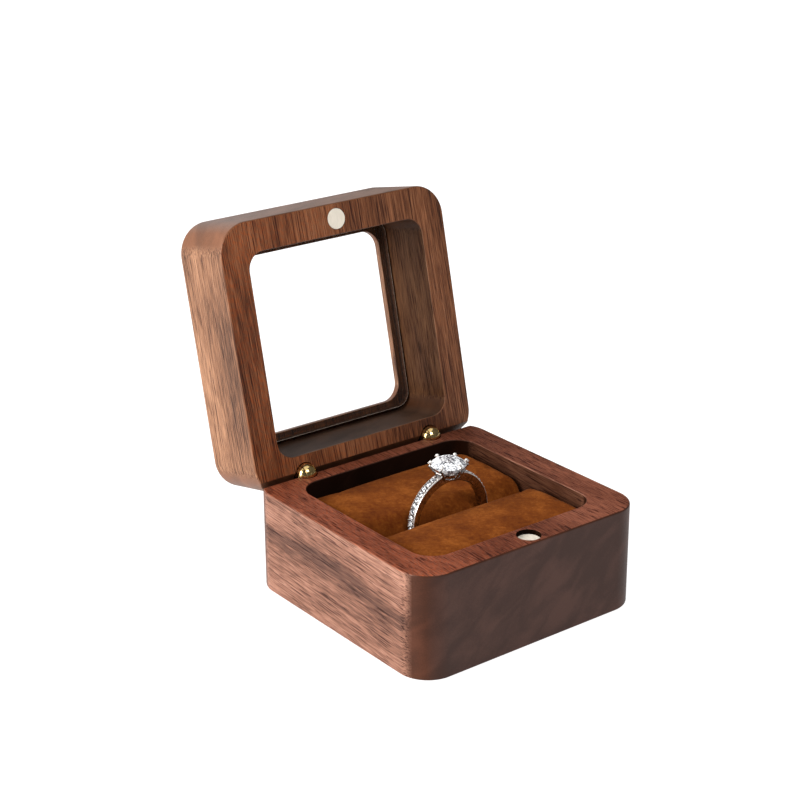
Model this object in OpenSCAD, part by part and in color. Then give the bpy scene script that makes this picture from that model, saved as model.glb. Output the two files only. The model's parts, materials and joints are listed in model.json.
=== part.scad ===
// Square ring box: a hollowed base, a lid with a glazed window, two hidden ball hinges,
// a magnet catch, two padded rolls and the ring that stands in the slot between them.
// Origin: centre of the base's underside. +X right, +Y towards the hinges, +Z up.
// The lid is drawn shut by each lid module and swung open about the hinge line.

/* [Box] */
// Width and depth of the box
box_w = 60; // [58:0.5:64]
// Height of the base
base_h = 23.3; // [22.5:0.1:26]
// Height of the lid
lid_h = 17; // [16.5:0.1:20]
// Radius of the upright outer corners
corner_r = 7.15; // [6:0.05:8]
// Thickness of the side and front rims
rim_w = 7; // [6.8:0.05:7.2]
// Thickness of the hinge-side rim
back_rim_w = 7.35; // [7.2:0.05:7.5]
// Radius of the cavity's upright corners
cavity_r = 5.5; // [4:0.1:6]
// Thickness of the base's floor
floor_t = 4; // [3:0.1:5]

/* [Lid] */
// Thickness of the lid's side rims
lid_rim_w = 6.6; // [6.4:0.05:7]
// Radius of the lid's inner upright corners
lid_cavity_r = 4; // [3.8:0.1:5]
// Width of the lip that the pane rests on, at the sides
lip_w = 1.7; // [1.2:0.05:2.2]
// Width of that lip at the front and along the hinge side
end_lip_w = 2.55; // [1.4:0.05:3]
// Thickness of the lip
lip_t = 1.75; // [1.2:0.05:2.5]
// Thickness of the pane
pane_t = 1.5; // [1:0.1:2]

/* [Hinges] */
// Distance of each hinge from the box's middle
hinge_x = 17.4; // [15:0.1:19]
// Distance of the hinge line from the back face
hinge_inset = 3; // [2.9:0.05:3.1]
// Angle of the lid on its open stop
open_angle = 102.8; // [90:0.1:103]
// Diameter of the hinge's ball knuckle
ball_d = 4.9; // [4.5:0.05:4.95]
// Diameter of the hinge's barrels
barrel_d = 5; // [4.8:0.05:5]
// Length of one barrel
barrel_len = 9; // [7:0.5:10]
// Thickness of the tongue between the fork's cheeks
tongue_t = 2.4; // [2:0.1:2.6]
// Diameter of the hinge pin
pin_d = 1.2; // [1:0.1:1.4]

/* [Magnets] */
// Diameter of the lid's catch magnet
lid_magnet_d = 4.6; // [4:0.1:5]
// Diameter of the base's catch magnet
base_magnet_d = 5.1; // [4:0.1:5.2]
// Sideways place of the magnets
magnet_x = 0.6; // [-1:0.1:1]
// Thickness of the catch magnets
magnet_t = 3; // [2:0.5:4]
// Depth of the base magnet below the rim
magnet_sink = 1; // [0.5:0.1:1.5]

/* [Pads] */
// Height of the pads' crown below the base's rim
pad_drop = 2.4; // [1.5:0.1:4]
// Rise of each pad's crown over its edges
pad_crown = 1.3; // [0.5:0.1:2]
// Thickness of the suede cover
cover_t = 0.8; // [0.6:0.1:1]
// Position of the front pad's edge at the slot
front_pad_y = -2.4; // [-2.8:0.1:-2.3]
// Position of the rear pad's edge at the slot
rear_pad_y = 0; // [0:0.1:0.6]
// Radius of the rear pad's edge at the slot
rear_pad_r = 4; // [2:0.5:5]
// Radius of the front pad's edge at the slot
front_pad_r = 1.5; // [1.2:0.1:3]
// Radius of the pads' edges at the cavity's walls
pad_wall_r = 2; // [1.2:0.1:3]

/* [Ring] */
// Inner diameter of the ring
ring_in_d = 17.2; // [16.5:0.1:17.4]
// Outer diameter of the ring
ring_out_d = 20.6; // [20.4:0.1:21]
// Width of the band
band_w = 2; // [1.8:0.1:2.1]
// Position of the band's middle in the slot
ring_y = -1.2; // [-1.3:0.05:-1.15]
// Height of the ring's centre
ring_z = 18.55; // [17:0.05:19.5]
// Drop of the finger hole's centre, which leaves the shank thinner at the bottom
shank_taper = 0.4; // [0:0.1:0.5]
// Diameter of the centre stone
stone_d = 7.7; // [7:0.1:8]
// Height of the centre stone's girdle
girdle_z = 30.6; // [30.4:0.05:31.4]
// Number of small stones on each shoulder
pave_count = 10; // [6:1:11]

/* [Hidden] */
$fn = 64;
half_w = box_w / 2;
// Air between the two rims when shut, and round the glued-in pieces
part_gap = 0.1;
glue_gap = 0.1;
lid_z = base_h + part_gap;
// Hinge line
hinge_y = half_w - hinge_inset;
hinge_z = base_h + part_gap / 2;
// The back edges are chamfered at 45 degrees, from this far in front of the hinge line
chamfer_lead = 0.8;
// Extra depth that keeps the hinge's metal behind the chamfered wood
metal_lead = 0.15;
// Cutting solids reach this far past what they cut
over = 1;
// Hinge: the barrels start clear of the ball, and flat necks join them to it
ball_r = ball_d / 2;
barrel_r = barrel_d / 2;
bore_r = barrel_r + glue_gap;
barrel_start = ball_r + 0.3;
neck_half = 1.4;
neck_inset = 0.3;
neck_sunk = 0.5;
tongue_half = tongue_t / 2;
cheek_gap = 0.1;
pin_clearance = 0.05;
pin_half = 2.2;
bore_depth = barrel_start + barrel_len + glue_gap;
// Magnets
magnet_y = -(half_w - rim_w / 2);
lid_magnet_r = lid_magnet_d / 2;
base_magnet_r = base_magnet_d / 2;
// Cavity
cavity_half_x = half_w - rim_w;
cavity_front = -(half_w - rim_w);
cavity_back = half_w - back_rim_w;
// Lid: its cavity is wider than the base's, and the pane stops short of the hinge-side wall
lid_half_x = half_w - lid_rim_w;
window_half_x = lid_half_x - lip_w;
window_front = cavity_front + end_lip_w;
window_back = cavity_back - end_lip_w;
window_r = 4.2;
pane_z = lid_z + lid_h - lip_t - pane_t;
pane_gap = 0.2;
pane_back_gap = 0.85;
pane_corner_r = lid_cavity_r - 0.5;
// Pads
pad_top = base_h - pad_drop;
pad_gap = 0.15;
pad_steps = 20;
// Ring
ring_in_r = ring_in_d / 2;
ring_out_r = ring_out_d / 2;
stone_r = stone_d / 2;
table_r = stone_r * 0.56;
crown_h = stone_d * 0.15;
pavilion_h = stone_d * 0.4;
girdle_t = 0.2;
seat_gap = 0.12;
claw_gap = 0.03;
culet_r = 0.02;
prong_count = 6;
prong_turn = 30;
prong_r = 0.34;
bead_r = 0.42;
prong_sunk = 1.2;
prong_foot_z = ring_z + ring_out_r - prong_sunk;
prong_foot_r = 2.15;
prong_top_z = girdle_z + 0.45;
prong_top_r = stone_r + 0.4;
rail_r = 0.3;
upper_rail_z = girdle_z - 1.1;
lower_rail_z = prong_foot_z + 0.25;
pave_d = 1.3;
pave_first = 24;
pave_step = 7.6;
pave_sink = 0.45;
pave_rise = 0.18;
pave_gap = 0.03;
pave_r = pave_d / 2 - pave_gap;
pave_table_r = pave_d / 3;
// Facets of the ring's large and small round parts
ring_fn = 128;
small_fn = 24;
// Colours
walnut = [0.42, 0.27, 0.21];
suede = [0.52, 0.27, 0.1];
brass = [0.83, 0.66, 0.35];
silver = [0.86, 0.87, 0.9];

// Square outline with round corners, from its four sides
module rounded_outline(left, right, front, back, r) {
    translate([left + r, front]) square([right - left - 2 * r, back - front]);
    translate([left, front + r]) square([right - left, back - front - 2 * r]);
    for (x = [left + r, right - r])
        for (y = [front + r, back - r])
            translate([x, y]) circle(r = r);
}

module box_outline() {
    rounded_outline(-half_w, half_w, -half_w, half_w, corner_r);
}

// The cavity's outline, drawn in by a gap
module cavity_outline(gap) {
    rounded_outline(-cavity_half_x + gap, cavity_half_x - gap, cavity_front + gap,
                    cavity_back - gap, cavity_r - gap);
}

// Wedge behind the 45 degree chamfer: dir is -1 below the hinge line and 1 above it
module chamfer_wedge(lead, dir) {
    reach = 2 * half_w;
    translate([-reach, hinge_y - lead, hinge_z])
        rotate([0, 90, 0])
            linear_extrude(2 * reach)
                polygon([[0, 0], [-dir * reach, reach], [dir * over, reach], [dir * over, 0]]);
}

// Swings what is drawn shut open about the hinge line
module opened() {
    translate([0, hinge_y, hinge_z])
        rotate([-open_angle, 0, 0])
            translate([0, -hinge_y, -hinge_z])
                children();
}

// Blind holes for both hinge barrels, sunk from the hinge line: dir as above
module hinge_bores(dir) {
    for (x = [-hinge_x, hinge_x])
        translate([x, hinge_y, hinge_z])
            mirror([0, 0, dir < 0 ? 1 : 0])
                translate([0, 0, -over])
                    cylinder(r = bore_r, h = bore_depth + over);
}

module base_box() {
    color(walnut)
    difference() {
        linear_extrude(base_h) box_outline();
        translate([0, 0, floor_t]) linear_extrude(base_h) cavity_outline(0);
        chamfer_wedge(chamfer_lead, -1);
        hinge_bores(-1);
        translate([magnet_x, magnet_y, base_h - magnet_sink - magnet_t])
            cylinder(r = base_magnet_r + glue_gap / 2, h = magnet_t + magnet_sink + over);
    }
}

module lid_frame() {
    color(walnut)
    opened()
    difference() {
        translate([0, 0, lid_z]) linear_extrude(lid_h) box_outline();
        translate([0, 0, lid_z - over])
            linear_extrude(lid_h - lip_t + over)
                rounded_outline(-lid_half_x, lid_half_x, cavity_front, cavity_back,
                                lid_cavity_r);
        translate([0, 0, lid_z])
            linear_extrude(lid_h + over)
                rounded_outline(-window_half_x, window_half_x, window_front, window_back,
                                window_r);
        chamfer_wedge(chamfer_lead, 1);
        hinge_bores(1);
        translate([magnet_x, magnet_y, lid_z - over])
            cylinder(r = lid_magnet_r + glue_gap / 2, h = magnet_t + over);
    }
}

module window_pane() {
    color([0.85, 0.9, 0.92, 0.35])
    opened()
    translate([0, 0, pane_z])
        linear_extrude(pane_t)
            rounded_outline(-lid_half_x + pane_gap, lid_half_x - pane_gap,
                            cavity_front + pane_gap, cavity_back - pane_back_gap,
                            pane_corner_r);
}

module base_magnet() {
    color("silver")
    translate([magnet_x, magnet_y, base_h - magnet_sink - magnet_t])
        cylinder(r = base_magnet_r, h = magnet_t);
}

module lid_magnet() {
    color("silver")
    opened()
    translate([magnet_x, magnet_y, lid_z]) cylinder(r = lid_magnet_r, h = magnet_t);
}

// Upright slab of the hinge, centred on the hinge line
module hinge_slab(x_from, x_to, y_half, z_from, z_to) {
    translate([x_from, -y_half, z_from]) cube([x_to - x_from, 2 * y_half, z_to - z_from]);
}

// Cuts the barrel behind the chamfer but spares the ball
module metal_wedge(dir) {
    intersection() {
        chamfer_wedge(chamfer_lead + metal_lead, dir);
        translate([-half_w, 0, hinge_z + (dir < 0 ? -box_w - barrel_start : barrel_start)])
            cube(box_w);
    }
}

// Fork with two cheeks and its barrel, drawn below the hinge line
module base_barrel(x) {
    cheek_x = tongue_half + cheek_gap;
    neck_x = ball_r - neck_inset;
    reach = ball_r + over;
    color(brass)
    difference() {
        translate([x, hinge_y, hinge_z])
        difference() {
            union() {
                sphere(r = ball_r);
                hinge_slab(-neck_x, neck_x, neck_half, -barrel_start - neck_sunk, 0);
                translate([0, 0, -barrel_start - barrel_len])
                    cylinder(r = barrel_r, h = barrel_len);
            }
            hinge_slab(-cheek_x, cheek_x, reach, -barrel_start, reach);
            translate([-reach, 0, 0]) rotate([0, 90, 0]) cylinder(r = pin_d / 2, h = 2 * reach);
        }
        metal_wedge(-1);
    }
}

// Tongue that turns between the fork's cheeks
module lid_tongue() {
    intersection() {
        union() {
            sphere(r = ball_r);
            hinge_slab(-tongue_half, tongue_half, neck_half, 0, barrel_start + neck_sunk);
        }
        hinge_slab(-tongue_half, tongue_half, ball_r, -ball_r, barrel_start + neck_sunk);
    }
}

// Tongue and its barrel, drawn above the hinge line
module lid_barrel(x) {
    color(brass)
    opened()
    difference() {
        translate([x, hinge_y, hinge_z])
        difference() {
            union() {
                lid_tongue();
                translate([0, 0, barrel_start]) cylinder(r = barrel_r, h = barrel_len);
            }
            translate([-ball_r, 0, 0])
                rotate([0, 90, 0]) cylinder(r = pin_d / 2 + pin_clearance, h = 2 * ball_r);
        }
        metal_wedge(1);
    }
}

module hinge_pin(x) {
    color(brass)
    translate([x - pin_half, hinge_y, hinge_z])
        rotate([0, 90, 0]) cylinder(r = pin_d / 2, h = 2 * pin_half);
}

module left_hinge_base_barrel() { base_barrel(-hinge_x); }
module right_hinge_base_barrel() { base_barrel(hinge_x); }
module left_hinge_lid_barrel() { lid_barrel(-hinge_x); }
module right_hinge_lid_barrel() { lid_barrel(hinge_x); }
module left_hinge_pin() { hinge_pin(-hinge_x); }
module right_hinge_pin() { hinge_pin(hinge_x); }

// Height of a pad's top at y, between its front and back ends with their edge radii
function pad_height(y, front, back, front_r, back_r) =
    let (mid = (2 * y - front - back) / (back - front),
         near_front = min(1, max(0, 1 - (y - front) / front_r)),
         near_back = min(1, max(0, 1 - (back - y) / back_r)))
    pad_top - pad_crown * mid * mid
        - front_r * (1 - sqrt(1 - near_front * near_front))
        - back_r * (1 - sqrt(1 - near_back * near_back));

// A pad between the cavity's side walls, drawn in by an inset on every side but its underside
module pad_solid(front, back, front_r, back_r, inset) {
    low = floor_t + glue_gap;
    y_from = front + inset;
    y_to = back - inset;
    r_from = front_r - inset;
    r_to = back_r - inset;
    top_line = [for (i = [0 : pad_steps])
        let (y = y_from + (y_to - y_from) * (1 - cos(180 * i / pad_steps)) / 2)
        [y, pad_height(y, y_from, y_to, r_from, r_to) - inset]];
    intersection() {
        translate([-cavity_half_x, 0, 0])
            rotate([90, 0, 90])
                linear_extrude(2 * cavity_half_x)
                    polygon(concat([[y_to, low], [y_from, low]], top_line));
        linear_extrude(base_h) cavity_outline(pad_gap + inset);
    }
}

module rear_pad(inset) {
    pad_solid(rear_pad_y, cavity_back - pad_gap, rear_pad_r, pad_wall_r, inset);
}

module front_pad(inset) {
    pad_solid(cavity_front + pad_gap, front_pad_y, pad_wall_r, front_pad_r, inset);
}

module rear_foam() {
    color("ivory") rear_pad(cover_t);
}

module rear_cover() {
    color(suede)
    difference() {
        rear_pad(0);
        rear_pad(cover_t);
    }
}

module front_foam() {
    color("ivory") front_pad(cover_t);
}

module front_cover() {
    color(suede)
    difference() {
        front_pad(0);
        front_pad(cover_t);
    }
}

// Places what is drawn along +Z on the band's outer face, turned away from the top
module on_band(turn) {
    translate([0, ring_y, ring_z])
        rotate([0, turn, 0])
            translate([0, 0, ring_out_r])
                children();
}

// Centre stone: table, crown, girdle and pavilion, grown by a gap
module stone_solid(gap) {
    translate([0, ring_y, girdle_z]) {
        translate([0, 0, -pavilion_h - girdle_t / 2 - gap])
            cylinder(r1 = culet_r, r2 = stone_r + gap, h = pavilion_h);
        translate([0, 0, -girdle_t / 2 - gap]) cylinder(r = stone_r + gap, h = girdle_t + gap);
        translate([0, 0, girdle_t / 2])
            cylinder(r1 = stone_r, r2 = table_r, h = crown_h);
    }
}

module ring_band() {
    color(silver)
    difference() {
        translate([0, ring_y + band_w / 2, ring_z])
            rotate([90, 0, 0]) cylinder(r = ring_out_r, h = band_w, $fn = ring_fn);
        translate([0, ring_y + band_w, ring_z - shank_taper])
            rotate([90, 0, 0]) cylinder(r = ring_in_r, h = 2 * band_w, $fn = ring_fn);
        stone_solid(seat_gap);
        for (side = [-1, 1])
            for (i = [0 : pave_count - 1])
                on_band(side * (pave_first + i * pave_step))
                    translate([0, 0, -pave_sink]) cylinder(r = pave_d / 2, h = over, $fn = small_fn);
    }
}

// One claw: a leaning wire with a round bead at its tip
module prong() {
    lean = atan((prong_top_r - prong_foot_r) / (prong_top_z - prong_foot_z));
    wire = (prong_top_z - prong_foot_z) / cos(lean);
    translate([prong_foot_r, 0, prong_foot_z])
        rotate([0, lean, 0]) {
            cylinder(r = prong_r, h = wire, $fn = small_fn);
            translate([0, 0, wire]) sphere(r = bead_r, $fn = small_fn);
        }
}

// Radius of the claws' middle line at a height
function prong_line(z) = prong_foot_r + (prong_top_r - prong_foot_r)
    * (z - prong_foot_z) / (prong_top_z - prong_foot_z);

module gallery_rail(z) {
    translate([0, 0, z])
        rotate_extrude() translate([prong_line(z), 0]) circle(r = rail_r, $fn = small_fn);
}

module ring_head() {
    color(silver)
    difference() {
        translate([0, ring_y, 0]) {
            for (i = [0 : prong_count - 1])
                rotate([0, 0, prong_turn + i * 360 / prong_count]) prong();
            gallery_rail(lower_rail_z);
            gallery_rail(upper_rail_z);
        }
        stone_solid(claw_gap);
        translate([0, ring_y + band_w / 2 + claw_gap, ring_z])
            rotate([90, 0, 0])
                cylinder(r = ring_out_r + claw_gap, h = band_w + 2 * claw_gap, $fn = ring_fn);
    }
}

module ring_stone() {
    color("white")
    stone_solid(0);
}

// Small round stones sunk in one shoulder: side is -1 or 1
module pave_row(side) {
    color("white")
    for (i = [0 : pave_count - 1])
        on_band(side * (pave_first + i * pave_step))
            translate([0, 0, pave_gap - pave_sink]) {
                cylinder(r = pave_r, h = pave_sink, $fn = small_fn);
                translate([0, 0, pave_sink])
                    cylinder(r1 = pave_r, r2 = pave_table_r, h = pave_rise, $fn = small_fn);
            }
}

module left_pave_stones() { pave_row(-1); }
module right_pave_stones() { pave_row(1); }

base_box();
base_magnet();
rear_foam();
rear_cover();
front_foam();
front_cover();
left_hinge_base_barrel();
right_hinge_base_barrel();
left_hinge_pin();
right_hinge_pin();
ring_band();
ring_head();
ring_stone();
left_pave_stones();
right_pave_stones();
lid_frame();
window_pane();
lid_magnet();
left_hinge_lid_barrel();
right_hinge_lid_barrel();
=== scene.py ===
import json
import math

import bmesh
import bpy
from mathutils import Matrix, Vector


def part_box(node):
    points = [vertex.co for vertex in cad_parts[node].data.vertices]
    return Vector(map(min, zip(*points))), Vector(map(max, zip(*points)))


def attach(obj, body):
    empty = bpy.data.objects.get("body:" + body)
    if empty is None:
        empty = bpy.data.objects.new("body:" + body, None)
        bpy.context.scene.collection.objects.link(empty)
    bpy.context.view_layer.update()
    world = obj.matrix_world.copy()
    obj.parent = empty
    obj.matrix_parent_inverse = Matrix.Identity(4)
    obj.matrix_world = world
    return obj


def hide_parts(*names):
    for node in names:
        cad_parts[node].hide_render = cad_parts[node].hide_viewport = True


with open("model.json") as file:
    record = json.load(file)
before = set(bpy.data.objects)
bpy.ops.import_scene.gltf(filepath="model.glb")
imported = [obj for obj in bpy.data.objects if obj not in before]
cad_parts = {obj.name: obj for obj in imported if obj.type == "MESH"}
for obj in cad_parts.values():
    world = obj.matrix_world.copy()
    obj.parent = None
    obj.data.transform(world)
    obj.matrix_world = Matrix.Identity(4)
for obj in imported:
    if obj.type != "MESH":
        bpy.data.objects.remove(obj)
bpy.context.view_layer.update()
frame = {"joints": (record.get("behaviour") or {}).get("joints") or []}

MM = 0.001

# ---------------------------------------------------------------- sizes, in millimetres
base_lo, base_hi = [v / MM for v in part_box("base_box")]
HALF_W = base_hi.x
BASE_H = base_hi.z
RIM_W = 7.0
BACK_RIM_W = 7.35
CORNER_R = 7.15
CAVITY_R = 5.5
FLOOR_T = 4.0
PART_GAP = 0.1
LID_Z = BASE_H + PART_GAP
LID_H = 17.0
LID_RIM_W = 6.6
LID_CAVITY_R = 4.0
LIP_W = 1.7
END_LIP_W = 2.55
LIP_T = 1.75
WINDOW_R = 4.2
PANE_T = 1.5
PANE_GAP = 0.2
PANE_BACK_GAP = 0.85
PANE_CORNER_EASE = 0.5
OUTER_EDGE_R = 0.40
INNER_EDGE_R = 0.22
HOLE_EDGE_R = 0.08
PANE_EDGE_R = 0.22
FACE_SLACK = 0.02       # how far a face may stand outside a cavity and still be its wall
FLOOR_DROP = 0.00002    # in metres

hinge = frame["joints"][0]
HINGE_Y = hinge["pos_m"][1] / MM
HINGE_Z = hinge["pos_m"][2] / MM
OPEN_ANGLE = math.radians(hinge["range_deg"][1])
HINGE_X = sum(v.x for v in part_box("right_hinge_pin")) / 2 / MM
CHAMFER_LEAD = 0.8
CHAMFER_EASE = 0.15
BORE_R = 2.6
BALL_R = 2.45
BARREL_R = 2.5
BARREL_START = BALL_R + 0.3
BARREL_LEN = 9.0
BORE_DEPTH = BARREL_START + BARREL_LEN + 0.1
TONGUE_HALF = 1.2
CHEEK_GAP = 0.1
PIN_R = 0.6
PIN_HALF = 2.2
NECK_HALF = 1.4
NECK_IN_BALL = 0.6
NECK_IN_BARREL = 0.4
CHEEK_END = 0.985
BRASS_EDGE_R = 0.2
PIN_EDGE_R = 0.1

magnet_lo, magnet_hi = [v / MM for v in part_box("base_magnet")]
MAGNET_X = (magnet_lo.x + magnet_hi.x) / 2
MAGNET_Y = (magnet_lo.y + magnet_hi.y) / 2
MAGNET_T = magnet_hi.z - magnet_lo.z
MAGNET_TOP = magnet_hi.z
BASE_MAGNET_R = (magnet_hi.x - magnet_lo.x) / 2
LID_MAGNET_R = (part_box("lid_magnet")[1].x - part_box("lid_magnet")[0].x) / 2 / MM
MAGNET_FIT = 0.05
MAGNET_SHADE = 0.08

band_lo, band_hi = [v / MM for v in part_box("ring_band")]
RING_Y = (band_lo.y + band_hi.y) / 2
BAND_W = band_hi.y - band_lo.y
RING_R = (band_hi.x - band_lo.x) / 2
RING_Z = band_lo.z + RING_R
FINGER_R = 8.6
SHANK_TAPER = 0.4
stone_lo, stone_hi = [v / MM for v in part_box("ring_stone")]
STONE_R = (stone_hi.x - stone_lo.x) / 2
TABLE_SHARE = 0.56
CROWN_H = STONE_R * 2 * 0.15
PAVILION_H = STONE_R * 2 * 0.4
GIRDLE_T = 0.2
GIRDLE_Z = stone_hi.z - CROWN_H - GIRDLE_T / 2
PRONGS = 6
PRONG_TURN = 30.0
PAVE_COUNT = 10
PAVE_FIRST = 24.0
PAVE_STEP = 7.6
PAVE_R = 0.62
PAVE_CROWN = 0.17
PAVE_PAVILION = 0.42
PAVE_GIRDLE = 0.06
PAVE_LIGHT = 0.62
PAVE_LIFT = 0.02
GRAIN_R = 0.17
GRAIN_ACROSS = 0.62
GRAIN_LIFT = 0.04
BAND_EDGE_R = 0.22
INNER_CROWN = 0.04
SEAT_GAP = 0.12
CLAW_BEAD_R = 0.38
CLAW_FOOT_R = 0.29
RAIL_R = 0.22
STAR_SHARE = 0.80
LOWER_SHARE = 0.24
# Painted light: brightness painted on the table, on the pave stones and, in turn, on the other
# facets.
TABLE_LIGHT = 0.55
PAINTED_FACET_LIGHT = (1.0, 0.45, 0.9, 0.7, 1.0, 0.2, 0.8)

CAVITY_X = HALF_W - RIM_W
LID_CAVITY_X = HALF_W - LID_RIM_W
CAVITY_FRONT = -(HALF_W - RIM_W)
CAVITY_BACK = HALF_W - BACK_RIM_W


# ---------------------------------------------------------------- node helpers
class Tree:
    """Short way of writing a material's nodes."""

    def __init__(self, name):
        self.material = bpy.data.materials.new(name)
        self.material.use_nodes = True
        self.nodes = self.material.node_tree.nodes
        self.links = self.material.node_tree.links
        self.shader = self.nodes["Principled BSDF"]

    def add(self, kind, inputs=None, **settings):
        node = self.nodes.new(kind)
        for key, value in settings.items():
            setattr(node, key, value)
        for key, value in (inputs or {}).items():
            self.put(node.inputs[key], value)
        return node

    def put(self, socket, value):
        if isinstance(value, bpy.types.NodeSocket):
            self.links.new(value, socket)
        else:
            socket.default_value = value

    def surface(self, **values):
        for key, value in values.items():
            self.put(self.shader.inputs[key.replace("_", " ")], value)
        return self.material

    def math(self, operation, a, b=0.0, c=0.0, clamp=False):
        node = self.add("ShaderNodeMath", {0: a, 1: b, 2: c}, operation=operation)
        node.use_clamp = clamp
        return node.outputs[0]

    def mix(self, factor, a, b, blend="MIX"):
        node = self.add("ShaderNodeMix", data_type="RGBA", blend_type=blend)
        self.put(node.inputs["Factor"], factor)
        self.put(node.inputs["A"], a)
        self.put(node.inputs["B"], b)
        return node.outputs["Result"]

    def place(self, scale, offset=(0, 0, 0), turn=(0, 0, 0)):
        """The piece's own coordinates in millimetres, turned, shifted and scaled."""
        coords = self.add("ShaderNodeTexCoord").outputs["Object"]
        moved = self.add("ShaderNodeMapping", {"Vector": coords, "Location": offset,
                                               "Rotation": turn,
                                               "Scale": (1 / MM, 1 / MM, 1 / MM)})
        sized = self.add("ShaderNodeVectorMath", {0: moved.outputs[0], 1: scale},
                         operation="MULTIPLY")
        return sized.outputs[0]

    def noise(self, vector, scale=1.0, detail=4.0, roughness=0.55, distortion=0.0):
        node = self.add("ShaderNodeTexNoise", {"Vector": vector, "Scale": scale,
                                               "Detail": detail, "Roughness": roughness,
                                               "Distortion": distortion})
        return node.outputs["Fac"]

    def ramp(self, value, *stops):
        node = self.add("ShaderNodeValToRGB", {0: value})
        while len(node.color_ramp.elements) < len(stops):
            node.color_ramp.elements.new(0.5)
        for element, (place, colour) in zip(node.color_ramp.elements, stops):
            element.position = place
            element.color = (*colour, 1)
        return node.outputs["Color"]

    def range(self, value, low, high, to_low=0.0, to_high=1.0):
        node = self.add("ShaderNodeMapRange", {"Value": value, "From Min": low,
                                               "From Max": high, "To Min": to_low,
                                               "To Max": to_high})
        node.clamp = True
        return node.outputs[0]

    def bump(self, height, distance, strength):
        return self.add("ShaderNodeBump", {"Height": height, "Distance": distance,
                                           "Strength": strength}).outputs[0]


# ---------------------------------------------------------------- materials
def walnut(name, offset, turn, stops, end_tone, level_face_shade, heart, shine=0.3):
    """Oiled walnut with the grain along Y: figure, bands, fibres and pores; smooth end grain.
    stops are the tones along the grain and end_tone is the end grain's; the tint after it is
    painted shade that makes the level faces darker and redder. heart is the height, half-width and
    strength of a darker band of heartwood."""
    tree = Tree(name)

    def grain(x, y, z, detail=2.0, roughness=0.5, distortion=0.0, shift=0.0):
        moved = tuple(v + shift for v in offset)
        return tree.noise(tree.place((x, y, z), moved, turn), 1.0, detail, roughness, distortion)

    normal = tree.add("ShaderNodeSeparateXYZ",
                      {0: tree.add("ShaderNodeTexCoord").outputs["Normal"]})
    end = tree.range(tree.math("ABSOLUTE", normal.outputs["Y"]), 0.20, 0.44)
    face = tree.math("POWER", tree.math("ABSOLUTE", normal.outputs["Z"]), 2.0)
    side = tree.math("SUBTRACT", 1.0, end)
    figure = grain(0.075, 0.018, 0.10, 3.0, 0.5, 0.4)
    bands = grain(0.9, 0.020, 0.9, 3.0, 0.6, 0.2, 11.0)
    fibres = grain(3.4, 0.06, 3.4, 2.0, 0.6, 0.2, 23.0)
    threads = grain(7.5, 0.22, 7.5, 1.0, 0.5, 0.2, 31.0)
    pores = grain(4.4, 0.030, 4.4, 1.0, 0.5, 0.12, 47.0)
    fleck = grain(6.5, 0.12, 6.5, 1.0, 0.5, 0.1, 59.0)
    middle = tree.add("ShaderNodeSeparateXYZ", {0: tree.place((1, 1, 1), (0, 0, 0), turn)})
    away = tree.math("SUBTRACT", middle.outputs["Z"], heart[0])
    away = tree.math("MULTIPLY_ADD", figure, 14.0, tree.math("SUBTRACT", away, 7.0))
    band = tree.range(tree.math("ABSOLUTE", away), 0.0, heart[1], heart[2], 0.0)
    tone = tree.math("MULTIPLY", figure, 0.50)
    tone = tree.math("MULTIPLY_ADD", bands, 0.12, tone)
    fine = tree.math("MULTIPLY_ADD", fibres, 0.32, tree.math("MULTIPLY", threads, 0.34))
    tone = tree.math("ADD", tone, tree.math("SUBTRACT", fine, 0.14))
    tone = tree.math("SUBTRACT", tone, band)
    colour = tree.ramp(tone, *stops)
    depth = tree.math("MULTIPLY_ADD", tree.range(pores, 0.585, 0.615), 0.90,
                      tree.math("MULTIPLY", tree.range(fleck, 0.58, 0.63), 0.42), clamp=True)
    colour = tree.mix(depth, colour, tree.mix(1.0, colour, (0.26, 0.20, 0.20, 1), "MULTIPLY"))
    # Painted shade: faces that lie level are darkened and reddened by their tint.
    colour = tree.mix(face, colour, tree.mix(1.0, colour, level_face_shade, "MULTIPLY"))
    spot = tree.noise(tree.place((2.6, 1.2, 2.6), offset, (0, 0, 0.6)), 1.0, 2.0)
    lean = tree.range(middle.outputs["X"], -24.0, 14.0, 1.0, 0.15)
    orange = tree.math("MULTIPLY", tree.range(spot, 0.46, 0.62, 0.25, 1.0), lean)
    warm = tree.mix(orange, (1.10, 1.13, 1.12, 1), (1.48, 1.02, 0.68, 1))
    colour = tree.mix(face, colour, tree.mix(1.0, colour, warm, "MULTIPLY"))
    slant = tree.noise(tree.place((0.10, 0.05, 0.22), offset, (0.0, 0.7, 0.0)), 1.0, 2.0, 0.5, 0.5)
    speck = tree.noise(tree.place((4.5, 0.5, 4.5), offset), 1.0, 2.0)
    across = tree.math("MULTIPLY_ADD", speck, 0.36, tree.math("SUBTRACT", slant, 0.07))
    across = tree.ramp(across, *((stop, tuple(c * k for c in end_tone)) for stop, k in
                                 ((0.48, 0.80), (0.61, 1.0), (0.78, 1.30))))
    ruddy = tree.range(tree.math("ABSOLUTE", normal.outputs["Y"]), 0.75, 1.0, 1.0, 0.0)
    across = tree.mix(ruddy, across, tree.mix(1.0, across, (0.95, 0.67, 0.44, 1), "MULTIPLY"))
    colour = tree.mix(end, colour, across)
    depth = tree.math("MULTIPLY", depth, side)
    height = tree.math("MULTIPLY_ADD", depth, -1.0, tree.math("MULTIPLY", fibres, 0.5))
    gloss = tree.math("MULTIPLY_ADD", depth, 0.25, tree.range(fibres, 0.3, 0.7, 0.52, 0.40))
    return tree.surface(Base_Color=colour, Roughness=gloss, IOR=1.4,
                        Specular_IOR_Level=shine, Normal=tree.bump(height, 0.04 * MM, 0.6))


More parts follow.
